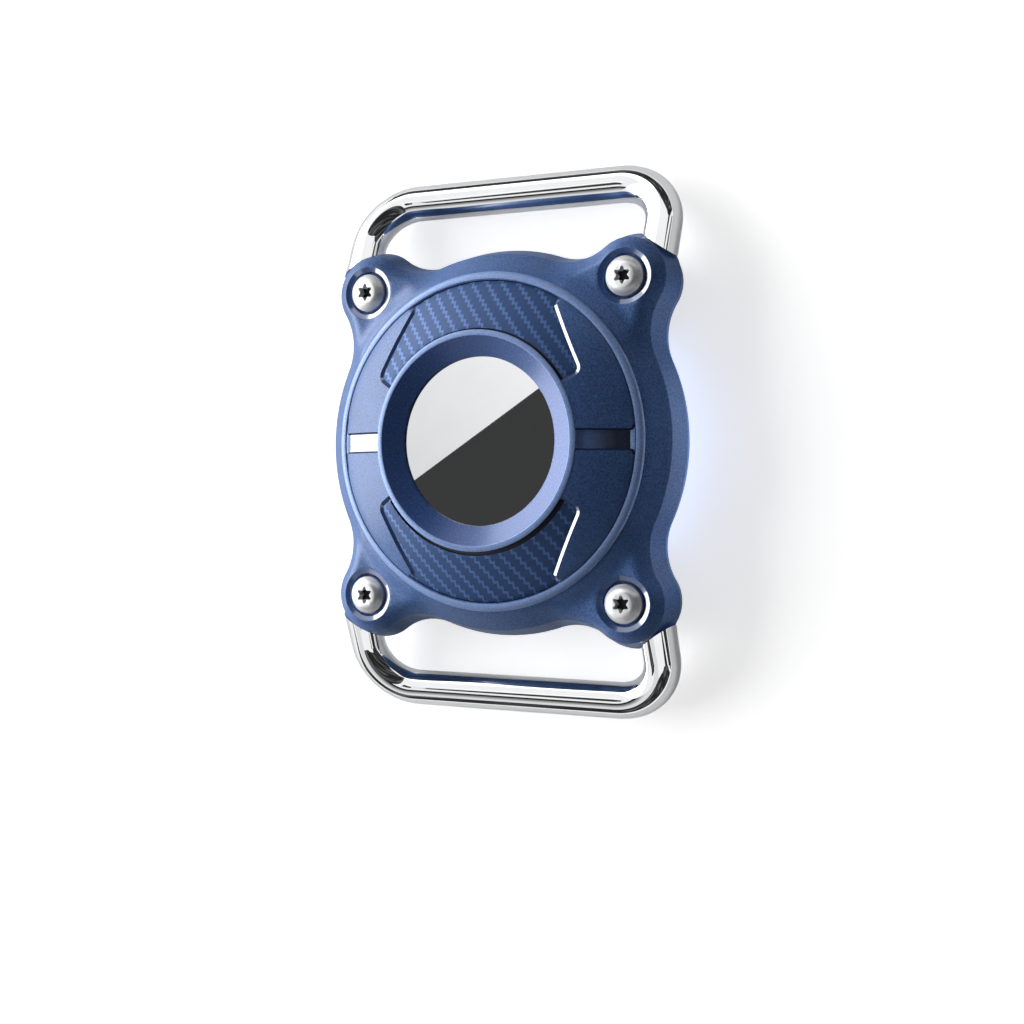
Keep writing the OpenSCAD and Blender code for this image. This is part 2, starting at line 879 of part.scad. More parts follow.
// three spring contacts that stand in the tray's notches and press on the cell
module contact_springs() {
    strip = 0.2;
    spring_w = 2;
    foot_z0 = board_z + board_t;
    color("#c8b06a")
        for (i = [0 : 2])
            rotate([0, 0, 30 + 120 * i])
                translate([0, -spring_w / 2, 0]) {
                    translate([cell_r + 0.05, 0, foot_z0])
                        cube([strip, spring_w, cell_z + cell_t * 0.7 - foot_z0]);
                    translate([cell_r - 0.5, 0, foot_z0])
                        cube([1.3, spring_w, strip]);
                }
}

front_shell();
upper_inlay();
lower_inlay();
rear_shell();
upper_loop();
lower_loop();
screw_upper_left();
screw_upper_right();
screw_lower_left();
screw_lower_right();
thread_inserts();
body_gasket();
face_gasket();
cushion_pad();
tag_base();
tag_cover();
battery_tray();
coin_cell();
circuit_board();
radio_shield();
speaker_magnet();
voice_coil();
antenna_carrier();
contact_springs();
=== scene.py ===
import bpy
import math
from mathutils import Matrix, Vector
from mathutils.geometry import delaunay_2d_cdt


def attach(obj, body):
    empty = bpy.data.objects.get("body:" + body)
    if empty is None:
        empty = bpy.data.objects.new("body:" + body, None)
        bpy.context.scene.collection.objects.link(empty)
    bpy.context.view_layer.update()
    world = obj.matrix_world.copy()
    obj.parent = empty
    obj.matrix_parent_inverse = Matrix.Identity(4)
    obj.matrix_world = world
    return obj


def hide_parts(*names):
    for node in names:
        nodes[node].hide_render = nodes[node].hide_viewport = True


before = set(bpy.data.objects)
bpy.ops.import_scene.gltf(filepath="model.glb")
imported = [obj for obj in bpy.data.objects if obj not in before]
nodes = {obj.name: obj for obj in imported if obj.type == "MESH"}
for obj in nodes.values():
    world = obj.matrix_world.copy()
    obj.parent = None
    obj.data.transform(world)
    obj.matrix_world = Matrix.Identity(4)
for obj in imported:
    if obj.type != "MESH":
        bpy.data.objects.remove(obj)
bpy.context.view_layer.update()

MM = 0.001
WHITE, BLACK = (1, 1, 1, 1), (0, 0, 0, 1)


def linear(code):
    """A colour written as six hex digits, in Blender's linear values."""
    out = []
    for i in (0, 2, 4):
        v = int(code[i:i + 2], 16) / 255
        out.append(v / 12.92 if v <= 0.04045 else ((v + 0.055) / 1.055) ** 2.4)
    return (*out, 1.0)


def shade(c, k):
    """A colour made k times as light."""
    return (min(c[0] * k, 1), min(c[1] * k, 1), min(c[2] * k, 1), 1.0)


class Shader:
    """One material's node tree: values in, nodes and links out."""

    def __init__(self, name):
        self.material = bpy.data.materials.new(name)
        self.material.use_nodes = True
        self.tree = self.material.node_tree
        self.bsdf = self.tree.nodes["Principled BSDF"]

    def node(self, kind, _settings=None, **sockets):
        """A new node with its settings, and with values or links on its named sockets."""
        n = self.tree.nodes.new(kind)
        for key, value in (_settings or {}).items():
            setattr(n, key, value)
        for key, value in sockets.items():
            self.put(n.inputs[key.replace("_", " ")], value)
        return n

    def put(self, socket, value):
        """Link an output to a socket, or set a number or colour on it."""
        if isinstance(value, bpy.types.NodeSocket):
            self.tree.links.new(value, socket)
        else:
            socket.default_value = value

    def set(self, **sockets):
        """Values or links on the surface's own sockets."""
        for key, value in sockets.items():
            self.put(self.bsdf.inputs[key.replace("_", " ")], value)

    def place(self, scale=1.0):
        """Object coordinates in metres, times a scale."""
        coords = self.node("ShaderNodeTexCoord")
        mapping = self.node("ShaderNodeMapping", Vector=coords.outputs["Object"])
        mapping.inputs["Scale"].default_value = scale if isinstance(scale, tuple) else (scale,) * 3
        return mapping.outputs["Vector"]

    def xyz(self, vector):
        return self.node("ShaderNodeSeparateXYZ", Vector=vector).outputs

    def noise(self, vector, scale, detail=2.0, roughness=0.5):
        n = self.node("ShaderNodeTexNoise", Vector=vector, Scale=scale, Detail=detail,
                      Roughness=roughness)
        return n.outputs["Fac"]

    def math(self, operation, a, b=0.0):
        n = self.node("ShaderNodeMath", {"operation": operation})
        self.put(n.inputs[0], a)
        self.put(n.inputs[1], b)
        return n.outputs[0]

    def mix(self, factor, a, b):
        """Colour a where the factor is 0, and colour b where it is 1."""
        n = self.node("ShaderNodeMix", {"data_type": "RGBA"})
        for i, value in ((0, factor), (6, a), (7, b)):
            self.put(n.inputs[i], value)
        return n.outputs[2]

    def remap(self, value, from_low, from_high, to_low, to_high):
        n = self.node("ShaderNodeMapRange")
        for key, v in zip(("Value", "From Min", "From Max", "To Min", "To Max"),
                          (value, from_low, from_high, to_low, to_high)):
            self.put(n.inputs[key], v)
        return n.outputs["Result"]

    def vary(self, noise, middle, spread):
        """A number that a noise moves to either side of its middle."""
        return self.remap(noise, 0.3, 0.7, middle - spread, middle + spread)

    def ramp(self, value, *stops):
        n = self.node("ShaderNodeValToRGB", Fac=value)
        elements = n.color_ramp.elements
        while len(elements) < len(stops):
            elements.new(0.5)
        for element, (position, colour) in zip(elements, stops):
            element.position = position
            element.color = colour
        return n.outputs["Color"]

    def bump(self, height, strength, distance):
        n = self.node("ShaderNodeBump", Height=height, Strength=strength, Distance=distance)
        return n.outputs["Normal"]


# Noise scales, per metre of the object: grains, mottling and scratches
PAINT_GRAIN, PAINT_CLOUD = 5600.0, 90.0
SCRATCHES, METAL_CLOUD, BRUSHED_ALONG_X = 4000.0, 400.0, (60.0, 9000.0, 9000.0)
PLASTIC_GRAIN, FOAM_GRAIN, PLASTIC_CLOUD = 3500.0, 1800.0, 150.0
CLOTH_GRAIN = 7000.0
PAINTED_SHADE_LEVEL = 0.16  # what is left of a colour at the dark end of a painted shade
# The twill: a step's width and height in mm, and where a ribbon's soft edge lies, in steps
WEAVE_X, WEAVE_Y = 0.436, 0.54
RIBBON_IN, RIBBON_OUT = 0.42, 0.62
THREADS, THREAD_RELIEF = 12.0, 0.15
POSITIVE = 400.0  # keeps what goes into a ping-pong above 0


def painted(name, code, metallic, roughness, speckle, specular, coat=0.0, fade=None):
    """Satin metal: a fine speckle in colour and roughness, and a faint broad unevenness.
    coat is the IOR of a clear coat. fade is two distances from the middle plane, in mm, between
    which the colour is painted darker, a painted shade."""
    s = Shader(name)
    at = s.place()
    fine = s.noise(at, PAINT_GRAIN, 3.0, 0.6)
    broad = s.noise(at, PAINT_CLOUD)
    c = linear(code)
    mixed = s.math("ADD", s.math("MULTIPLY", fine, 0.8), s.math("MULTIPLY", broad, 0.2))
    colour = s.ramp(mixed, (0.36, shade(c, 1 - speckle)), (0.5, c), (0.66, shade(c, 1 + speckle)))
    # Painted shade: the colour darkens with the distance from the middle plane
    if fade:
        away = s.math("ABSOLUTE", s.xyz(at)["X"])
        colour = s.mix(s.remap(away, fade[0] * MM, fade[1] * MM, 0.0, 1.0), colour, shade(c, PAINTED_SHADE_LEVEL))
    s.set(Base_Color=colour, Metallic=metallic, Specular_IOR_Level=specular,
          Roughness=s.vary(fine, roughness, 0.05), Normal=s.bump(fine, 0.6 * speckle, 0.03 * MM))
    if coat:
        s.set(Coat_Weight=1.0, Coat_IOR=coat, Coat_Roughness=0.08)
    return s.material


def metal(name, code, roughness, brushed=0.0, wear=0.06, scratch_depth=0.02, metallic=1.0):
    """Bare metal with fine scratches, all along X where it is brushed, and a slight cloudiness."""
    s = Shader(name)
    at = s.place()
    if brushed:
        scratch = s.noise(s.place(BRUSHED_ALONG_X), 1.0, 3.0)
    else:
        scratch = s.noise(at, SCRATCHES, 3.0)
    cloud = s.noise(at, METAL_CLOUD, 3.0)
    c = linear(code)
    s.set(Base_Color=s.ramp(cloud, (0.35, shade(c, 1 - wear)), (0.65, c)), Metallic=metallic,
          Roughness=s.vary(cloud, roughness, 0.2 * roughness),
          Normal=s.bump(scratch, scratch_depth + brushed, 0.02 * MM))
    return s.material


def plastic(name, code, roughness, texture=0.15, grain=PLASTIC_GRAIN):
    """Moulded plastic or rubber: fine texture and slight mottling."""
    s = Shader(name)
    at = s.place()
    fine = s.noise(at, grain)
    broad = s.noise(at, PLASTIC_CLOUD)
    c = linear(code)
    s.set(Base_Color=s.ramp(broad, (0.35, shade(c, 0.92)), (0.65, shade(c, 1.06))),
          Roughness=s.vary(fine, roughness, 0.06), Normal=s.bump(fine, texture, 0.04 * MM))
    return s.material


def woven(name, dark, light):
    """Twill: light zigzag ribbons that step down to the right over a darker cloth, with fine
    threads and a slight relief."""
    s = Shader(name)
    at = s.place()
    u = s.math("MULTIPLY", s.xyz(at)["X"], 1 / (WEAVE_X * MM))
    v = s.math("MULTIPLY", s.xyz(at)["Y"], -1 / (WEAVE_Y * MM))
    down = s.math("ADD", u, v)
    across = s.math("SUBTRACT", u, v)
    step = s.math("PINGPONG", s.math("ADD", down, POSITIVE), 1.0)
    off = s.math("PINGPONG", s.math("ADD", s.math("SUBTRACT", across, step), POSITIVE), 2.0)
    ribbon = s.remap(off, RIBBON_IN, RIBBON_OUT, 1.0, 0.0)
    thread = s.math("SINE", s.math("MULTIPLY", down, THREADS))
    fine = s.noise(at, CLOTH_GRAIN)
    d, e = linear(dark), linear(light)
    colour = s.mix(ribbon, s.ramp(fine, (0.3, shade(d, 0.8)), (0.7, shade(d, 1.2))),
                   s.ramp(fine, (0.3, shade(e, 0.85)), (0.7, shade(e, 1.15))))
    height = s.math("ADD", ribbon, s.math("MULTIPLY", thread, THREAD_RELIEF))
    s.set(Base_Color=colour, Metallic=0.12, Roughness=s.remap(ribbon, 0.0, 1.0, 0.48, 0.4),
          Specular_IOR_Level=0.3, Normal=s.bump(height, 0.3, 0.03 * MM))
    return s.material


# The first block has the names of the record's material slots, which the frame's nodes carry
MATERIALS = {
    "case_metal": painted("satin_blue_metal", "4B6EA9", 0.03, 0.36, 0.46, 0.44),
    "loop_chrome": metal("polished_chrome", "F2F3F4", 0.03, wear=0.03, scratch_depth=0.004),
    "screw_steel": metal("polished_steel", "F8F9FA", 0.4, wear=0.03, scratch_depth=0.008,
                         metallic=0.6),
    "insert_brass": metal("turned_brass", "C9A45C", 0.3, metallic=0.6),
    "seal_rubber": plastic("black_rubber", "1B1C1E", 0.7),
    "pad_foam": plastic("grey_foam", "2A2B2E", 0.9, 0.6, FOAM_GRAIN),
    "tag_plastic": plastic("white_plastic", "ECECEA", 0.35),
    "tag_steel": metal("mirror_steel", "E2E3E5", 0.008, wear=0.02, scratch_depth=0.0005),
    "tray_plastic": plastic("tray_plastic", "DADAD6", 0.5),
    "cell_steel": metal("cell_steel", "BFC1C4", 0.25, brushed=0.1),
    "board_green": plastic("board_lacquer", "1E4A32", 0.35),
    "shield_steel": metal("shield_steel", "B4B6B8", 0.3),
    "magnet_nickel": metal("nickel_plate", "B9B5AC", 0.22),
    "coil_copper": metal("copper_wire", "B56A3C", 0.3),
    "carrier_plastic": plastic("carrier_plastic", "3A3B3D", 0.55),
    "spring_gold": metal("gilt_spring", "D4AE5A", 0.25),
    "inlay_weave": woven("woven_panel", "355486", "5B7DBC"),

    # Painted shadow: near-black for the screws' recesses, where shade falls
    "recess_dark": plastic("recess_shadow", "08080A", 0.6),
    # Painted shadow: near-black navy for the pockets' floors, which show in the gaps round the
    # inlays
    "pocket_painted_shadow": plastic("pocket_painted_shadow", "0A1630", 0.6),
    # Painted shade: a dark navy copy of the case's blue for the channels' edges
    "edge_navy": painted("painted_shade_edge_metal", "1B2F58", 0.1, 0.45, 0.06, 0.2),
    "case_gloss": painted("glossy_blue_metal", "34538C", 0.1, 0.3, 0.06, 0.5, coat=2.4),
    "bezel_gloss": painted("bezel_blue_metal", "3E5D9B", 0.1, 0.25, 0.14, 0.55),
    # Painted highlight: a lighter copy of the case's blue for the ring bead, the bezel's foot and
    # crest and the channels' end slopes
    "bead_gloss": painted("painted_highlight_blue_metal", "8CA9E0", 0.1, 0.33, 0.2, 0.45),
    # The channels' clear-coated floors: painted lighter than the case, a painted highlight, and
    # painted darker towards their outer ends, a painted shade
    "channel_metal": painted("glossy_channel_painted_light", "7594D8", 0.1, 0.3, 0.06, 0.5, coat=2.05,
                             fade=(12.6, 15.0)),
}
for node in nodes.values():
    for slot in node.material_slots:
        name = slot.material.name.split(".")[0] if slot.material else ""
        if name in MATERIALS:
            slot.material = MATERIALS[name]


# Sizes of the case in millimetres, as in the frame
BODY_R, LOBE_R, NECK_R = 21.35, 5.0, 6.0
SCREW_X, SCREW_Y = 15.59, 17.13
FLAT_A, FLAT_D = math.radians(56), 4.4
PART_Z, CREASE_Z, CREASE_IN = 5.2, 7.9, 0.75
RING_R, RING_Z, BEAD_W, BEAD_H = 18.4, 10.0, 0.83, 0.5
PANEL_R, FOOT_R, CREST_R, WINDOW_R = 17.45, 11.84, 11.27, 9.1
FOOT_Z, CREST_Z, WINDOW_Z, LIP_Z = 13.05, 13.19, 12.14, 11.8
DOME_Z, DOME_R = -21.709, 36.72
SHOULDER_SLOPE = 2.1 / 2.2
BORE_R, RIM_R, BORE_Z = 2.45, 2.945, 8.3
CHANNEL_HALF, CHANNEL_END, CORNER_R = 0.95, 16.95, 0.4
INLAY_CORNER, BLUNT_R, POCKET_R = 0.9, 0.45, FOOT_R + 0.02
POCKET_DEPTH, CHANNEL_DEPTH = 0.5, 0.35

# Sizes that only the visible surface has
TURNS, BORE_TURNS = 288, 72  # facets round the case and round a counterbore
RIM_DROP, CHAMFER_DROP = 0.03, 0.15  # a counterbore's rim under the shoulder, and its chamfer
EDGE, EDGE_SLOPE, EDGE_DEPTH = 0.2, 0.73, 0.28  # the bevel outside a pocket's wall
WALL = (0.18, 0.23)  # how far inside a pocket's outline its steep wall starts and ends
GROOVE_Z = 10.4  # the groove between the panels and the ring bead
SHOULDER_Z, RING_RISE, RISE_W, SHOULDER_BLEND = 9.05, 1.1, 1.2, 0.6
MEET_W = 1.5  # how far outside the ring the shoulder bends to meet it
ROLL_W, ROLL_DROP = 0.6, 0.08  # where the dome rolls off towards the ring, and how far
SPLIT_Y = 3  # the pockets lie further than this from the X axis, and the channels nearer
CHANNEL_REACH = 1.5  # a channel and its edge lie nearer than this
SHOULDER_START = (CREASE_IN + 0.06, CREASE_Z + 0.06 * SHOULDER_SLOPE)  # inset and height

SIGNS = [(1, 1), (-1, 1), (-1, -1), (1, -1)]
SCREWS = [(sx * SCREW_X, sy * SCREW_Y) for sx, sy in SIGNS]
SCREW_DIST = math.hypot(SCREW_X, SCREW_Y)
SCREW_DIR = math.atan2(SCREW_Y, SCREW_X)
NECK_DIST = BODY_R + NECK_R
NECK_SPREAD = math.acos((SCREW_DIST ** 2 + NECK_DIST ** 2 - (LOBE_R + NECK_R) ** 2)
                        / (2 * SCREW_DIST * NECK_DIST))
NECKS = [(NECK_DIST * math.cos(SCREW_DIR + side * NECK_SPREAD),
          NECK_DIST * math.sin(SCREW_DIR + side * NECK_SPREAD)) for side in (-1, 1)]


def unit(a):
    return (math.cos(a), math.sin(a))


def dot(a, b):
    return a[0] * b[0] + a[1] * b[1]


def cross(a, b):
    return a[0] * b[1] - a[1] * b[0]


def along(p, d, k):
    return (p[0] + d[0] * k, p[1] + d[1] * k)


def less(a, b):
    return (a[0] - b[0], a[1] - b[1])


def angle(d):
    return math.atan2(d[1], d[0])


def folded(p):
    """The point of the first quadrant that p mirrors."""
    return (abs(p[0]), abs(p[1]))


def mirrored(points, sx, sy):
    return [(x * sx, y * sy) for x, y in points]


def arc(c, r, a0, a1, n):
    return [(c[0] + r * math.cos(a0 + (a1 - a0) * i / n),
             c[1] + r * math.sin(a0 + (a1 - a0) * i / n)) for i in range(n + 1)]


def circle(c, r, n):
    return arc(c, r, 0, 2 * math.pi, n)[:-1]


def ring(r):
    return circle((0, 0), r, TURNS)


def arch(r, a, side):
    """A patch's open line: an arc round the middle, from the angle a to its mirror image, above
    the window where side is 1 and below it where side is -1."""
    return mirrored(arc((0, 0), r, a, math.pi - a, 120), 1, side), False


def clamp(v, a=0.0, b=1.0):
    return max(a, min(b, v))


def smooth(v):
    v = clamp(v)
    return v * v * (3 - 2 * v)


def soft_min(a, b, k):
    h = clamp(0.5 + 0.5 * (b - a) / k)
    return b + (a - b) * h - k * h * (1 - h)


def near_screw(p):
    """Distance from p to the nearest screw's axis."""
    return min(math.hypot(*less(p, s)) for s in SCREWS)


def dome(r):
    """Height of the panels: a dome that rolls off towards the ring."""
    roll = clamp((r - PANEL_R + ROLL_W) / ROLL_W)
    return DOME_Z + math.sqrt(DOME_R ** 2 - r * r) - ROLL_DROP * roll ** 2


# Plan of an inlay's pocket: its short end, its long edge, the corner between them and the blunt
# corner at the ring
FOOT_A, END_A, STEP = math.radians(30.4), math.radians(62.5), 2.15
FOOT_DIR = unit(FOOT_A)
TIP = along((0, 0), FOOT_DIR, FOOT_R + STEP)
RING_END = along((0, 0), unit(END_A), PANEL_R - 0.06)
LONG_A = math.atan2(RING_END[1] - TIP[1], RING_END[0] - TIP[0])
LONG_DIR = unit(LONG_A)
LONG_N, FOOT_N = unit(LONG_A + math.pi / 2), unit(FOOT_A + math.pi / 2)
CORNER = along(TIP, (LONG_N[0] + FOOT_N[0], LONG_N[1] + FOOT_N[1]),
               INLAY_CORNER / (1 + dot(LONG_N, FOOT_N)))


def on_long_edge(r, off):
    """The point at radius r on the line that runs off outside the long edge."""
    p = along(TIP, LONG_N, -off)
    b = dot(p, LONG_DIR)
    return along(p, LONG_DIR, -b + math.sqrt(b * b - dot(p, p) + r * r))


BLUNT = on_long_edge(PANEL_R - BLUNT_R, BLUNT_R)
BLUNT_DIR = (BLUNT[0] / (PANEL_R - BLUNT_R), BLUNT[1] / (PANEL_R - BLUNT_R))
BEND_X = math.sqrt((PANEL_R - CORNER_R) ** 2 - (CHANNEL_HALF + CORNER_R) ** 2)
BEND = (BEND_X, CHANNEL_HALF + CORNER_R)
BEND_DIR = (BEND[0] / (PANEL_R - CORNER_R), BEND[1] / (PANEL_R - CORNER_R))


# The plan functions below take points of the first quadrant
def pocket_sides_in(p):
    """How far p lies inside the pocket's long edge, its short end and their corners."""
    q = less(p, CORNER)
    g = min(dot(less(p, TIP), LONG_N), dot(less(p, TIP), FOOT_N))
    if cross(LONG_N, q) > 0 and cross(q, FOOT_N) > 0:
        g = INLAY_CORNER - math.hypot(*q)
    q = less(p, BLUNT)
    if cross(BLUNT_DIR, q) > 0 and cross(q, LONG_N) > 0:
        g = math.hypot(*q) - BLUNT_R
    return g


def pocket_depth_in(p):
    """How far p lies inside the pocket's whole outline."""
    return min(pocket_sides_in(p), math.hypot(*p) - POCKET_R)


def channel_depth_in(p):
    """How far p lies inside the channel's outline."""
    q = less(p, BEND)
    if q[0] > 0:
        return math.hypot(*q) - CORNER_R if cross(q, BEND_DIR) > 0 else math.hypot(*p) - PANEL_R
    return CHANNEL_HALF - p[1]


def pocket_line(g):
    """A side of the pocket's outline moved inwards by g, from the ring to the bezel."""
    r = BLUNT_R + g
    a_end, a_start = angle(LONG_N), angle(BLUNT_DIR)
    if g > 0:
        while math.hypot(*along(BLUNT, unit(a_start), r)) > PANEL_R + 0.004:
            a_start += 0.01
    out = arc(BLUNT, r, a_start, a_end, 12)
    a0, a1 = angle(less((0, 0), LONG_N)), angle(less((0, 0), FOOT_N))
    bend = arc(CORNER, INLAY_CORNER - g, a0, a1, 14)
    (x0, y0), (x1, y1) = out[-1], bend[0]
    out += [(x0 + (x1 - x0) * i / 24, y0 + (y1 - y0) * i / 24) for i in range(1, 24)]
    out += bend
    b = dot(bend[-1], FOOT_DIR)
    run = b - math.sqrt(b * b - dot(bend[-1], bend[-1]) + (POCKET_R + g) ** 2)
    return out + [along(bend[-1], FOOT_DIR, -run * i / 8) for i in range(1, 9)]


def pocket_foot(g):
    """The angle at which the pocket's outline moved inwards by g meets the bezel."""
    return angle(pocket_line(g)[-1])


def channel_line(g):
    """One edge of the channel moved inwards by g, from the bezel to the ring."""
    xs = [FOOT_R - 0.02 + (BEND[0] - FOOT_R + 0.02) * i / 12 for i in range(12)]
    bend = arc(BEND, CORNER_R + g, -math.pi / 2, angle(BEND_DIR), 8)
    return [(x, CHANNEL_HALF - g) for x in xs] + bend


class Skin:
    """Vertices and faces in millimetres, with vertices in one place joined."""

    PLACES_PER_MM = 500

    def __init__(self):
        self.points, self.faces, self.slots, self.index = [], [], [], {}

    def vertex(self, p):
        key = tuple(round(v * self.PLACES_PER_MM) for v in p)
        if key not in self.index:
            self.index[key] = len(self.points)
            self.points.append(p)
        return self.index[key]

    def face(self, corners, slot=0):
        """A face with its repeated corners left out, or none where fewer than three remain."""
        ids = []
        for p in corners:
            i = self.vertex(p)
            if i not in ids:
                ids.append(i)
        if len(ids) > 2:
            self.faces.append(ids)
            self.slots.append(slot)

    def strip(self, a, b, slot=0):
        """Faces between two closed rows of as many points, facing out when the rows run
        anticlockwise and b lies above a."""
        n = len(a)
        for i in range(n):
            j = (i + 1) % n
            self.face([a[i], a[j], b[j], b[i]], slot)

    def turned(self, profile, n=TURNS, slots=None, centre=(0, 0)):
        """A profile of (radius, height) turned round Z, facing out when it runs upwards."""
        rows = [[(centre[0] + r * math.cos(2 * math.pi * i / n),
                  centre[1] + r * math.sin(2 * math.pi * i / n), z)
                 for i in range(n)] for r, z in profile]
        for k in range(len(rows) - 1):
            self.strip(rows[k], rows[k + 1], slots[k] if slots else 0)

    def patch(self, plan, height, lines, region_of, borders=(), slot_of=lambda region: 0):
        """A triangulated plan, with edges along the lines, raised by region.

        region_of(centre) names a triangle's region or leaves it out with None, and
        height(p, region) is the height there. Walls join what lies at two heights, and
        borders = (test(p), level(p)) drop the open rim to a level."""
        points, edges = [], []
        for line, closed in lines:
            first = len(points)
            n = len(line)
            points += line
            edges += [(first + i, first + (i + 1) % n) for i in range(n if closed else n - 1)]
        points += plan
        v2, _, f2, _, _, _ = delaunay_2d_cdt([Vector(p) for p in points], edges, [], 0, 1e-4)
        v2 = [(v.x, v.y) for v in v2]
        sides = {}
        for f in f2:
            region = region_of((sum(v2[i][0] for i in f) / 3, sum(v2[i][1] for i in f) / 3))
            if region is None:
                continue
            z = [height(v2[i], region) for i in f]
            slot = slot_of(region)
            self.face([(v2[i][0], v2[i][1], h) for i, h in zip(f, z)], slot)
            for k in range(3):
                i, j = f[k], f[(k + 1) % 3]
                side = (i, j, z[k], z[(k + 1) % 3], slot)
                sides.setdefault((min(i, j), max(i, j)), []).append(side)
        for found in sides.values():
            i, j, zi, zj, slot = found[0]
            p, q = v2[i], v2[j]
            if len(found) == 2:
                _, _, wj, wi, other = found[1]
                if abs(zi - wi) > 1e-3 or abs(zj - wj) > 1e-3:
                    self.face([(*q, zj), (*p, zi), (*p, wi), (*q, wj)], min(slot, other))
                continue
            middle = ((p[0] + q[0]) / 2, (p[1] + q[1]) / 2)
            for test, level in borders:
                if test(middle):
                    self.face([(*q, zj), (*p, zi), (*p, level(p)), (*q, level(q))], slot)

    def build(self, name, materials, crease=24.0):
        """The mesh as an object, with sharp edges at creases and where two materials meet."""
        mesh = bpy.data.meshes.new(name)
        mesh.from_pydata([(x * MM, y * MM, z * MM) for x, y, z in self.points], [], self.faces)
        for m in materials:
            mesh.materials.append(m)
        for p, slot in zip(mesh.polygons, self.slots):
            p.material_index = slot
            p.use_smooth = True
        mesh.validate()
        mesh.set_sharp_from_angle(angle=math.radians(crease))
        slots_at = {}
        for p in mesh.polygons:
            for key in p.edge_keys:
                slots_at.setdefault(key, set()).add(p.material_index)
        for e in mesh.edges:
            if len(slots_at.get(e.key, ())) > 1:
                e.use_edge_sharp = True
        o = bpy.data.objects.new(name, mesh)
        bpy.context.scene.collection.objects.link(o)
        return o


def quadrant_outline():
    """Samples of the outline from +X to +Y: centre, radius, side (1 bulging, -1 hollow), angle,
    and the place at the lobe's end flat, if any."""
    out = []
    low, high = NECKS
    s = (SCREW_X, SCREW_Y)
    d_low, d_high = angle(low), angle(high)

    def add(c, r, side, a0, a1, step):
        n = max(2, math.ceil(abs(a1 - a0) * r / step))
        out.extend((c, r, side, a0 + (a1 - a0) * i / n, None) for i in range(n))
    add((0, 0), BODY_R, 1, 0, d_low, 0.45)
    add(low, NECK_R, -1, d_low + math.pi, angle(less(s, low)), 0.35)
    for part, a, n in (("before", angle(less(low, s)), 16), ("flat", 0, 8),
                       ("after", angle(less(high, s)), 14)):
        out.extend((s, LOBE_R, 1, a, (part, i / n)) for i in range(n))
    a0 = angle(less(s, high))
    add(high, NECK_R, -1, a0 + (2 * math.pi if a0 < 0 else 0), d_high + math.pi, 0.35)
    add((0, 0), BODY_R, 1, d_high, math.pi / 2, 0.45)
    return out


OUTLINE = quadrant_outline()
FLAT_STEPS = {i for i, sample in enumerate(OUTLINE) if sample[4] and sample[4][0] == "flat"}
LEAST_FLAT = 0.12  # half the angle that an end flat takes up, where it runs out


def outline_point(sample, inset):
    """A sample of the outline, moved inwards."""
    c, r, side, a, over = sample
    if over is None:
        return along(c, unit(a), r - side * inset)
    half = max(math.acos(min(FLAT_D / (r - inset), 1.0)), LEAST_FLAT)
    part, t = over
    if part == "before":
        a = a + (FLAT_A - half - a) * t
    elif part == "flat":
        a = FLAT_A - half + 2 * half * t
    else:
        a = FLAT_A + half + (a - FLAT_A - half) * t
    p = along(c, unit(a), r - inset)
    past = dot(less(p, c), unit(FLAT_A)) - FLAT_D
    return along(p, unit(FLAT_A), -past) if past > 0 else p


def outline_row(inset, z):
    """The whole outline at one inset and height, anticlockwise."""
    right = [outline_point(sample, inset) for sample in OUTLINE]
    left = [(-x, y) for x, y in reversed(right[1:])]
    half = right + [(0.0, BODY_R - inset)] + left
    whole = half + [(-(BODY_R - inset), 0.0)] + [(x, -y) for x, y in reversed(half[1:])]
    return [(x, y, z) for x, y in whole]


def inset_of(p):
    """How far p lies inside the outline."""
    p = folded(p)
    s = (SCREW_X, SCREW_Y)
    for n, side in zip(NECKS, (-1, 1)):
        if (side * cross(s, p) >= 0 and side * cross(p, n) >= 0
                and side * cross(less(n, s), less(p, s)) >= 0):
            return math.hypot(*less(p, n)) - NECK_R
    return max(BODY_R - math.hypot(*p), LOBE_R - math.hypot(*less(p, s)))


def wall_inset(z):
    """Inset of the leaning side wall at a height."""
    return CREASE_IN * (z - PART_Z) / (CREASE_Z - PART_Z)


def raw_shoulder(p, r):
    """The shoulder and the lobes before they bend to meet the ring, at p and its radius r."""
    rise = CREASE_Z + SHOULDER_SLOPE * (inset_of(p) - CREASE_IN)
    flat = SHOULDER_Z + RING_RISE * math.exp(-((r - RING_R) / RISE_W) ** 2)
    return soft_min(rise, flat, SHOULDER_BLEND)


def shoulder_height(p):
    """The shoulder and the lobes as one smooth surface that meets the ring bead's foot."""
    r = math.hypot(*p)
    z = raw_shoulder(p, r)
    if r < RING_R + MEET_W:
        at_ring = raw_shoulder(along((0, 0), p, RING_R / r), RING_R)
        z += (RING_Z - at_ring) * smooth((RING_R + MEET_W - r) / MEET_W)
    return z


def hex_grid(reach, step):
    """Points at the corners of equal triangles."""
    row_step = 0.866
    rows = int(reach / (step * row_step)) + 1
    return [((i + 0.5 * (j % 2)) * step, j * step * row_step)
            for j in range(-rows, rows + 1) for i in range(-rows, rows + 1)]


def round_over(start, corner, end):
    """Rows of (inset, height) from start to end on a curve that the corner between them pulls."""
    (a, b), (c, d), (e, f) = start, corner, end
    out = []
    for i in range(6):
        t = i / 5
        out.append(((1 - t) ** 2 * a + 2 * t * (1 - t) * c + t * t * e,
                    (1 - t) ** 2 * b + 2 * t * (1 - t) * d + t * t * f))
    return out


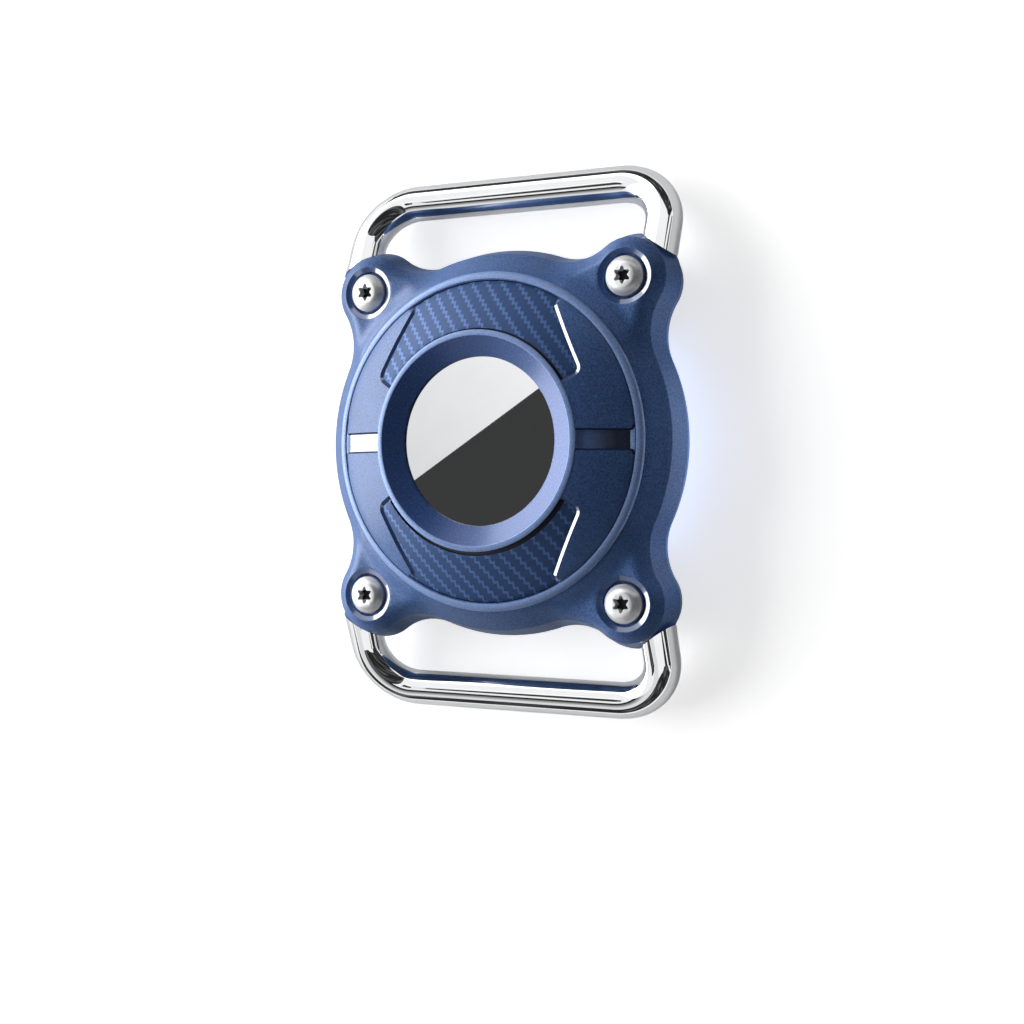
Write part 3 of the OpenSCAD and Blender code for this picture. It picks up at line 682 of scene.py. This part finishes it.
# The front case's materials, and the one that each region of its face has. The pockets' floors and
# the channels' edges are painted dark as painted shade, the bead and the channels' end slopes are
# painted lighter as a painted highlight, and the channels' floors are painted lighter with a
# painted shade towards their ends
FRONT_FINISHES = ("case_metal", "case_gloss", "bezel_gloss", "pocket_painted_shadow", "bead_gloss",
                  "channel_metal", "edge_navy")
FRONT_SLOT = {finish: i for i, finish in enumerate(FRONT_FINISHES)}
REGION_FINISH = {"panel": "case_metal", "pocket edge": "case_gloss", "pocket": "pocket_painted_shadow",
                 "channel edge": "edge_navy", "channel": "channel_metal", "slope": "bead_gloss"}


def add_side_wall(skin):
    """The side wall, its rounded front edge and the start of the shoulder. Returns the last row.
    The end flats, where the loops' legs come out, stay the frame's own up to near the shoulder."""
    flats_to = 0.6
    lean = math.hypot(CREASE_IN, CREASE_Z - PART_Z)
    back = (CREASE_IN - 0.07 * CREASE_IN / lean, CREASE_Z - 0.07 * (CREASE_Z - PART_Z) / lean)
    rows = [(wall_inset(z), z) for z in (5.2, 5.7, 6.2, 6.7, 7.1, 7.4, 7.6)]
    rows += round_over(back, (CREASE_IN, CREASE_Z), SHOULDER_START)
    rings = [outline_row(*row) for row in rows]
    n = len(rings[0])
    per_quadrant = n // 4
    for (inset, _), low, high in zip(rows, rings, rings[1:]):
        for i in range(n):
            quadrant, place = divmod(i, per_quadrant)
            if quadrant % 2:
                place = per_quadrant - 1 - place
            if place in FLAT_STEPS and inset < flats_to:
                continue
            j = (i + 1) % n
            skin.face([low[i], low[j], high[j], high[i]])
    return rings[-1]


def add_shoulder(skin, edge):
    """The shoulder and the lobes, from the side wall's last row to the ring bead's foot."""
    limit, edge_z = SHOULDER_START[0], edge[0][2]
    lines = [([(x, y) for x, y, _ in edge], True), (ring(RING_R), True)]
    lines += [(circle(s, r, BORE_TURNS), True) for s in SCREWS for r in (RIM_R, RIM_R + 0.07)]
    inside = [p for p in hex_grid(24, 0.36) if inset_of(p) > limit + 0.2
              and math.hypot(*p) > RING_R + 0.2 and near_screw(p) > RIM_R + 0.2]

    def region(c):
        if math.hypot(*c) < RING_R - 0.002 or inset_of(c) < limit - 0.004:
            return None
        return None if near_screw(c) < RIM_R - 0.003 else "top"

    def height(p, _region):
        if inset_of(p) < limit + 0.01:
            return edge_z
        return shoulder_height(p) - (RIM_DROP if near_screw(p) < RIM_R + 0.035 else 0)
    skin.patch(inside, height, lines, region)


def add_counterbores(skin):
    """The screws' counterbores, with a glossy chamfer."""
    for s in SCREWS:
        rim = [(x, y, shoulder_height((x, y)) - RIM_DROP) for x, y in circle(s, RIM_R, BORE_TURNS)]
        low = [(x, y, z - CHAMFER_DROP)
               for (x, y), (_, _, z) in zip(circle(s, BORE_R, BORE_TURNS), rim)]
        skin.strip(rim, low, FRONT_SLOT["case_gloss"])
        skin.strip(low, [(x, y, BORE_Z) for x, y, _ in low])


def add_bead_and_bezel(skin):
    """The ring bead, the groove inside it, the bezel and the window's edge."""
    case, painted_highlight_slot = FRONT_SLOT["case_metal"], FRONT_SLOT["bead_gloss"]
    bezel_slot = FRONT_SLOT["bezel_gloss"]
    soft = 0.03
    inner = RING_R - BEAD_W
    bead = [(inner + soft + (BEAD_W - soft) * math.cos(a), RING_Z + BEAD_H * math.sin(a))
            for a in (math.pi / 2 * i / 14 for i in range(15))]
    bead += [(inner, RING_Z + BEAD_H - soft), (inner, GROOVE_Z), (PANEL_R, GROOVE_Z)]
    # The bead and the bezel's foot and crest are painted lighter: a painted highlight
    skin.turned(bead, TURNS, [painted_highlight_slot] * 15 + [case] * 2)
    slope = (CREST_Z - WINDOW_Z) / (CREST_R - WINDOW_R)
    bezel = [(FOOT_R, FOOT_Z), (FOOT_R - 0.02, FOOT_Z + 0.05), (FOOT_R - 0.06, FOOT_Z + 0.07),
             (CREST_R + 0.06, CREST_Z - 0.005), (CREST_R, CREST_Z - 0.01),
             (CREST_R - 0.05, CREST_Z - 0.04)]
    bezel += [(CREST_R - 0.05 - t, CREST_Z - 0.04 - t * slope) for t in (0.5, 1.0, 1.5, 2.0)]
    bezel += [(WINDOW_R + 0.02, WINDOW_Z), (WINDOW_R, WINDOW_Z - 0.04), (WINDOW_R, LIP_Z)]
    skin.turned(bezel, TURNS, [painted_highlight_slot] * 5 + [bezel_slot] * 6 + [case])


def add_panels(skin):
    """The domed panels with their pockets and channels."""
    lines = [(ring(FOOT_R), True), (ring(PANEL_R), True), (ring(PANEL_R - EDGE), True)]
    lines += [(mirrored(pocket_line(g), *s), False) for s in SIGNS for g in (-EDGE, *WALL)]
    lines += [(mirrored(channel_line(g), *s), False) for s in SIGNS for g in (-EDGE, 0.0)]
    lines += [([(x, -CHANNEL_HALF), (x, CHANNEL_HALF)], False)
              for x in (-CHANNEL_END, CHANNEL_END)]
    lines += [arch(POCKET_R + g, pocket_foot(g), side) for side in (1, -1) for g in WALL]
    inside = []
    for p in hex_grid(18, 0.55):
        r, q = math.hypot(*p), folded(p)
        at_pocket = -EDGE - 0.25 < pocket_depth_in(q) < 0.5
        at_channel = -EDGE - 0.2 < channel_depth_in(q) < 0.1
        if FOOT_R + 0.3 < r < PANEL_R - EDGE - 0.2 and not (at_pocket or at_channel):
            inside.append(p)

    def region(c):
        if not FOOT_R - 0.001 < math.hypot(*c) < PANEL_R:
            return None
        c = folded(c)
        g = pocket_sides_in(c)
        if g > -EDGE and c[1] > SPLIT_Y:
            return "pocket" if g > sum(WALL) / 2 else "pocket edge"
        g = channel_depth_in(c) if c[1] < CHANNEL_REACH else -1
        if g > 0:
            return "slope" if c[0] > CHANNEL_END else "channel"
        return "channel edge" if g > -EDGE else "panel"

    def height(p, where):
        r = min(math.hypot(*p), PANEL_R)
        q = folded(p)
        if where == "pocket":
            return dome(r) - POCKET_DEPTH
        if where == "pocket edge":
            return dome(r) - clamp(EDGE_SLOPE * (pocket_sides_in(q) + EDGE), 0, EDGE_DEPTH)
        if where in ("channel", "slope"):
            t = clamp((q[0] - CHANNEL_END) / (PANEL_R - CHANNEL_END))
            return dome(r) - CHANNEL_DEPTH + 0.3 * t
        g = max(channel_depth_in(q) if q[1] < SPLIT_Y else -1,
                pocket_sides_in(q) if q[1] > SPLIT_Y else -1)
        return dome(r) - clamp(g + EDGE, 0, EDGE)
    skin.patch(inside, height, lines, region,
               borders=[(lambda m: math.hypot(*m) > PANEL_R - 0.01, lambda p: GROOVE_Z),
                        (lambda m: math.hypot(*m) < FOOT_R + 0.01, lambda p: FOOT_Z)],
               slot_of=lambda where: FRONT_SLOT[REGION_FINISH[where]])


def remade(c, normal):
    """Whether the skin has its own surface in place of the frame's face with this centre, in mm,
    and normal."""
    r, near = math.hypot(c.x, c.y), near_screw(c)
    if c.z < CREASE_Z and abs(inset_of(c) - wall_inset(c.z)) < 0.012 and 0.05 < normal.z < 0.5:
        return True
    if c.z > CREASE_Z - 0.01 and r > PANEL_R + 0.02 and near > BORE_R + 0.02:
        return True
    if near < RIM_R + 0.05 and c.z > BORE_Z + 0.005:
        return True
    if WINDOW_R - 0.05 < r <= FOOT_R:
        return c.z > LIP_Z + 0.01 and (normal.z > 0.2 or r < WINDOW_R + 0.05)
    if FOOT_R < r < PANEL_R + 0.05:
        return c.z > dome(min(r, PANEL_R)) - 0.7 and c.z > RING_Z
    return False


def front_case():
    """The front half: a new visible surface, and the frame's own faces inside and behind it."""
    skin = Skin()
    add_shoulder(skin, add_side_wall(skin))
    add_counterbores(skin)
    add_bead_and_bezel(skin)
    add_panels(skin)
    data = nodes["front_shell"].data
    for p in data.polygons:
        if not remade(p.center / MM, p.normal):
            skin.face([tuple(data.vertices[i].co / MM) for i in p.vertices])
    o = skin.build("front_case", [MATERIALS[finish] for finish in FRONT_FINISHES])
    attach(o, "front")
    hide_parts("front_shell")


def inlay(name, side, node):
    """A woven inlay that follows the dome, with a softened edge. Its side is 1 above the window
    and -1 below it."""
    skin = Skin()
    gap, soft = 0.17, 0.05
    sunk, edge_drop, bottom = 0.26, 0.02, 0.48
    # Below the window the inlay stops further from the bezel, so that more of the near-black pocket
    # floor shows there: a painted shadow of the bezel
    outer_r, inner_r = PANEL_R - 0.1, FOOT_R + (0.2 if side > 0 else 0.45)
    lines = [(mirrored(pocket_line(gap + t), sx, side), False)
             for sx in (1, -1) for t in (0.0, soft)]
    for t in (0.0, soft):
        lines += [arch(inner_r + t, pocket_foot(gap + t), side), arch(outer_r - t, 0.9, side)]
    inside = [p for p in hex_grid(18, 0.5) if p[1] * side > SPLIT_Y
              and math.hypot(*p) < outer_r - 0.2 and pocket_depth_in(folded(p)) > gap + 0.25]

    def region(c):
        inside_it = (c[1] * side > SPLIT_Y and pocket_sides_in(folded(c)) > gap - 0.002
                     and inner_r < math.hypot(*c) < outer_r)
        return "inlay" if inside_it else None

    def height(p, _region):
        r = math.hypot(*p)
        from_edge = min(pocket_sides_in(folded(p)) - gap, outer_r - r, r - inner_r)
        return dome(r) - sunk - (edge_drop if from_edge < soft / 2 else 0)
    skin.patch(inside, height, lines, region,
               borders=[(lambda m: True, lambda p: dome(math.hypot(*p)) - bottom)])
    o = skin.build(name, [MATERIALS["inlay_weave"]])
    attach(o, "front")
    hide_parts(node)


# Sizes of a screw in millimetres
HEAD_TOP, HEAD_R, FLAT_R, SEAT_Z, BROW_Z = 9.65, 2.1, 1.25, 8.12, 9.02
HEAD_FROM, HEAD_TO, HEAD_STEPS = 38, 12, 12  # slope of the head, from the brow to the flat
RECESS_R, RECESS_LOBE, RECESS_POWER, RECESS_DEPTH = 0.6, 0.34, 1.4, 1.0
PLAIN_SHANK, PITCH, THREAD_DEPTH, THREAD_TURNS = 1.6, 0.45, 0.16, 36
TIP_FADE, END_FADE = 0.5, 0.4  # over which the thread runs out at the tip and under the head


def recess_r(a):
    """Radius of the six-lobe recess at an angle."""
    lobe = 0.5 + 0.5 * math.cos(6 * (a - math.pi / 2))
    return RECESS_R + RECESS_LOBE * lobe ** RECESS_POWER


def recess_line(centre, grow):
    """The recess's outline, widened."""
    return [(centre[0] + (recess_r(a) + grow) * math.cos(a),
             centre[1] + (recess_r(a) + grow) * math.sin(a))
            for a in (2 * math.pi * i / 120 for i in range(120))]


def add_head(skin, centre):
    """The domed head with its six-lobe recess."""
    low_r, high_r = HEAD_R - 0.05, FLAT_R + 0.05
    steep, level = math.radians(HEAD_FROM), math.radians(HEAD_TO)
    k = (HEAD_TOP - 0.02 - BROW_Z) / (math.cos(level) - math.cos(steep))
    profile = [(HEAD_R - 0.06, SEAT_Z), (HEAD_R, SEAT_Z + 0.06), (HEAD_R, BROW_Z - 0.05),
               (HEAD_R - 0.015, BROW_Z - 0.015)]
    for i in range(1, HEAD_STEPS + 1):
        a = math.radians(HEAD_FROM - (HEAD_FROM - HEAD_TO) * i / HEAD_STEPS)
        t = (math.sin(a) - math.sin(level)) / (math.sin(steep) - math.sin(level))
        profile.append((high_r + (low_r - high_r) * t,
                        BROW_Z + k * (math.cos(a) - math.cos(steep))))
    profile.append((FLAT_R, HEAD_TOP))
    skin.turned(profile, 96, centre=centre)

    def region(c):
        d = less(c, centre)
        r = math.hypot(*d)
        if r > FLAT_R:
            return None
        return "pit" if r < recess_r(angle(d)) - 0.001 else "top"

    def height(p, where):
        d = less(p, centre)
        if where == "pit":
            return HEAD_TOP - RECESS_DEPTH
        return HEAD_TOP - (0.03 if math.hypot(*d) < recess_r(angle(d)) + 0.02 else 0)
    lines = [circle(centre, FLAT_R, 96), recess_line(centre, 0), recess_line(centre, 0.04)]
    # The recess's floor takes the near-black painted shadow
    skin.patch([], height, [(line, True) for line in lines], region,
               slot_of=lambda where: 1 if where == "pit" else 0)


def add_shank(skin, centre, node):
    """The head's underside and a threaded shank, as wide and as long as the frame's."""
    shank = [v.co / MM for v in node.data.vertices if v.co.z / MM < SEAT_Z - 0.3]
    tip = min(v.z for v in shank)
    shank_r = max(math.hypot(v.x - centre[0], v.y - centre[1]) for v in shank)
    thread_r, thread_end = shank_r - 0.02, SEAT_Z - PLAIN_SHANK
    skin.turned([(thread_r, thread_end), (thread_r, SEAT_Z - 0.05), (shank_r + 0.03, SEAT_Z),
                 (HEAD_R - 0.06, SEAT_Z)], THREAD_TURNS, centre=centre)
    levels = int((thread_end - tip) / (PITCH / 6))

    def thread(k, i):
        a = 2 * math.pi * i / THREAD_TURNS
        z = tip + (thread_end - tip) * k / levels
        at_tip = z < tip + TIP_FADE
        fade = clamp((z - tip) / TIP_FADE) if at_tip else clamp((thread_end - z) / END_FADE)
        cut = abs((z / PITCH - i / THREAD_TURNS) % 1.0 - 0.5) * 2
        r = thread_r - THREAD_DEPTH * (cut * fade + (1 - fade) * (1.0 if at_tip else 0.0))
        return (centre[0] + r * math.cos(a), centre[1] + r * math.sin(a), z)
    rows = [[thread(k, i) for i in range(THREAD_TURNS)] for k in range(levels + 1)]
    for low, high in zip(rows, rows[1:]):
        skin.strip(low, high)
    skin.face(list(reversed(rows[0])))


def screw(corner):
    """A button-head screw at the corner named, such as upper_left."""
    centre = (SCREW_X * (-1 if "left" in corner else 1), SCREW_Y * (-1 if "lower" in corner else 1))
    skin = Skin()
    add_head(skin, centre)
    add_shank(skin, centre, nodes["screw_" + corner])
    o = skin.build("button_head_" + corner, [MATERIALS["screw_steel"], MATERIALS["recess_dark"]])
    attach(o, corner + "_screw")
    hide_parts("screw_" + corner)


def soft_ring(name, node, body, slot, inner, outer, low, high, round_r, turns):
    """A moulded ring with rounded edges and a slight crown, in place of a plain solid."""
    skin = Skin()
    mid, half = (inner + outer) / 2, (outer - inner) / 2 - round_r
    bottom, top = low + round_r, high - round_r
    profile = []
    for centre, a0, z in ((outer - round_r, -90, bottom), (outer - round_r, 0, top),
                          (inner + round_r, 90, top), (inner + round_r, 180, bottom)):
        for i in range(7):
            a = math.radians(a0 + 15 * i)
            profile.append((centre + round_r * math.cos(a), z + round_r * math.sin(a)))
        if a0 == 0:
            for i in range(1, 8):
                r = outer - round_r - 2 * half * i / 8
                profile.append((r, high - 0.02 - 0.04 * abs((r - mid) / half)))
    profile.append(profile[0])
    skin.turned(profile, turns)
    o = skin.build(name, [MATERIALS[slot]], 50.0)
    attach(o, body)
    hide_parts(node)
    return o


def softened(name, node, body, slot, crease):
    """A piece with the frame's form and smooth curved faces, for a node that shows its facets."""
    skin = Skin()
    data = nodes[node].data
    for p in data.polygons:
        skin.face([tuple(data.vertices[i].co / MM) for i in p.vertices])
    o = skin.build(name, [MATERIALS[slot]], crease)
    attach(o, body)
    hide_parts(node)


front_case()
inlay("woven_inlay_upper", 1, "upper_inlay")
inlay("woven_inlay_lower", -1, "lower_inlay")
for corner in ("upper_left", "upper_right", "lower_left", "lower_right"):
    screw(corner)
softened("tag_shell", "tag_base", "tag", "tag_plastic", 34)
foam = soft_ring("foam_ring", "cushion_pad", "rear", "pad_foam", 4.5, 14.45, 2.5, 3.75, 0.42, 144)
soft_ring("body_seal", "body_gasket", "rear", "seal_rubber", 18.1, 19.4, 4.2, 5.2, 0.3, 216)
soft_ring("face_seal", "face_gasket", "front", "seal_rubber", 10.34, 11.84, 11.75, 12.3, 0.2, 180)


# The camera of the photograph, solved in the part's frame. The solved camera looks along +Z
# with Y down, and Blender's along -Z with Y up
FLIP = Matrix(((1, 0, 0), (0, -1, 0), (0, 0, -1)))
TILT_Z, TILT_X, TILT_Y = -0.0027878, 0.0092989, -0.453504
LENS_SHIFT = Vector((-2.82336, -7.60338, 160.15326)) * MM
SOLVED_FROM = Vector((0, 0, 10 * MM))

camera_data = bpy.data.cameras.new("camera")
camera_data.lens = 51.983
camera_data.sensor_width = 36.0
camera_data.clip_start = 0.01
camera_data.clip_end = 20.0
camera = bpy.data.objects.new("camera", camera_data)
bpy.context.scene.collection.objects.link(camera)
bpy.context.scene.camera = camera
to_lens = (FLIP @ Matrix.Rotation(TILT_Z, 3, "Z") @ Matrix.Rotation(TILT_X, 3, "X")
           @ Matrix.Rotation(TILT_Y, 3, "Y"))
eye = -(to_lens.transposed() @ LENS_SHIFT) + SOLVED_FROM
camera.matrix_world = Matrix.Translation(eye) @ (to_lens.transposed() @ FLIP).to_4x4()

# The world: white where it is seen, also in metal and glass, and a low light on the object
WORLD_LIGHT = 0.075
world = bpy.data.worlds.new("studio")
bpy.context.scene.world = world
world.use_nodes = True
tree = world.node_tree
background = tree.nodes["Background"]
background.inputs["Color"].default_value = WHITE
ray_kinds = tree.nodes.new("ShaderNodeLightPath").outputs
seen = ray_kinds["Is Camera Ray"]
for kind in ("Is Glossy Ray", "Is Transmission Ray"):
    either = tree.nodes.new("ShaderNodeMath")
    either.operation = "MAXIMUM"
    tree.links.new(seen, either.inputs[0])
    tree.links.new(ray_kinds[kind], either.inputs[1])
    seen = either.outputs[0]
level = tree.nodes.new("ShaderNodeMapRange")
level.inputs["To Min"].default_value = WORLD_LIGHT
level.inputs["To Max"].default_value = 1.0
tree.links.new(seen, level.inputs["Value"])
tree.links.new(level.outputs["Result"], background.inputs["Strength"])


def stage_sheet(name, corners, material):
    """A flat piece of the studio, given by its corners in millimetres."""
    mesh = bpy.data.meshes.new(name)
    mesh.from_pydata([[v * MM for v in p] for p in corners], [], [tuple(range(len(corners)))])
    mesh.materials.append(material)
    o = bpy.data.objects.new(name, mesh)
    bpy.context.scene.collection.objects.link(o)
    return o


def glowing(shader, strength):
    """A black surface that gives off white light."""
    shader.set(Base_Color=BLACK, Specular_IOR_Level=0.0, Emission_Color=WHITE,
               Emission_Strength=strength)


# The floor keeps the object's shadow, and looks lighter than it is to the camera and in metal
FLOOR_HALF, FLOOR_TO_CAMERA, FLOOR_IN_METAL = 3000, 0.7, 0.15
floor = Shader("pale_floor")
rays = floor.node("ShaderNodeLightPath").outputs
floor.set(Base_Color=(0.8, 0.8, 0.8, 1), Roughness=0.9, Emission_Color=WHITE,
          Emission_Strength=floor.math(
              "ADD", floor.math("MULTIPLY", rays["Is Camera Ray"], FLOOR_TO_CAMERA),
              floor.math("MULTIPLY", rays["Is Glossy Ray"], FLOOR_IN_METAL)))
stage_sheet("floor", [(sx * FLOOR_HALF, sy * FLOOR_HALF, 0)
                      for sx, sy in ((-1, -1), (1, -1), (1, 1), (-1, 1))], floor.material)

# Cards that only metal and gloss show. On the disc a grey one meets a bright one at a slant
grey = Shader("grey_card")
glowing(grey, 0.055)
bright = Shader("bright_card")
bright_at = bright.xyz(bright.place(1 / MM))
slant = bright.math("ADD", bright_at["X"], bright_at["Y"])
glowing(bright, bright.remap(slant, -262.0, -133.0, 0.9, 1.17))
graded = Shader("graded_card")
graded_at = graded.xyz(graded.place(1 / MM))
glowing(graded, graded.remap(graded_at["Y"], -210.0, -460.0, 0.02, 0.8))
streaked = Shader("black_card")
streaks = streaked.noise(streaked.place((11.0, 1.6, 11.0)), 1.0)
streaked.set(Base_Color=(0.012, 0.013, 0.016, 1), Roughness=1.0, Specular_IOR_Level=0.0,
             Emission_Color=WHITE,
             Emission_Strength=streaked.remap(streaks, 0.5, 0.62, 0.015, 0.13))
CARDS = (
    ("card_for_disc", grey, [(-258.8, 1.7, 450), (-196.5, 41.7, 450), (-150, 60, 450),
                             (-150, -60, 450), (-258.8, -60, 450)]),
    ("bright_for_disc", bright, [(-300, -80, 452), (-140, -80, 452), (-140, 100, 452),
                                 (-300, 100, 452)]),
    ("card_over_right", streaked, [(-100, -500, 450), (900, -500, 450), (900, 500, 450),
                                   (-100, 500, 450)]),
    ("card_low_left", graded, [(-450, -700, 450), (-100, -700, 450), (-100, -150, 450),
                               (-450, -150, 450)]),
    ("card_right", streaked, [(700, -600, 60), (700, 600, 60), (700, 600, 460), (700, -600, 460)]),
    ("card_low", streaked, [(-700, -600, 80), (600, -600, 80), (600, -600, 400),
                            (-700, -600, 400)]),
    ("card_high", streaked, [(-450, 620, 40), (600, 620, 40), (600, 620, 300), (-450, 620, 300)]),
)
for name, shader, corners in CARDS:
    card = stage_sheet(name, corners, shader.material)
    card.visible_camera = False
    card.visible_diffuse = False
    card.visible_shadow = False
    card.visible_transmission = False


def softbox(name, place, target, size, radiance):
    """A soft rectangular lamp, with its place, target and size in metres."""
    data = bpy.data.lights.new(name, "AREA")
    data.shape = "RECTANGLE"
    data.size, data.size_y = size
    data.energy = radiance * math.pi * size[0] * size[1]
    o = bpy.data.objects.new(name, data)
    o.location = place
    o.rotation_mode = "QUATERNION"
    o.rotation_quaternion = (Vector(target) - Vector(place)).to_track_quat("-Z", "Y")
    bpy.context.scene.collection.objects.link(o)
    return o


softbox("key", (-0.6, 0.19, 0.28), (0, 0.19, 0.12), (0.84, 0.54), 5.5)
softbox("back_light", (-0.38, 0.62, 0.42), (0, 0, 0.01), (0.5, 0.3), 1.15)
# A hidden lamp on the floor lights the right side wall from below
floor_light = softbox("floor_light", (0.034, 0, 0.0005), (0.034, 0, 1), (0.08, 0.022), 2.6)
floor_light.visible_camera = False
floor_light.visible_glossy = False

bpy.context.scene.view_settings.view_transform = "Standard"
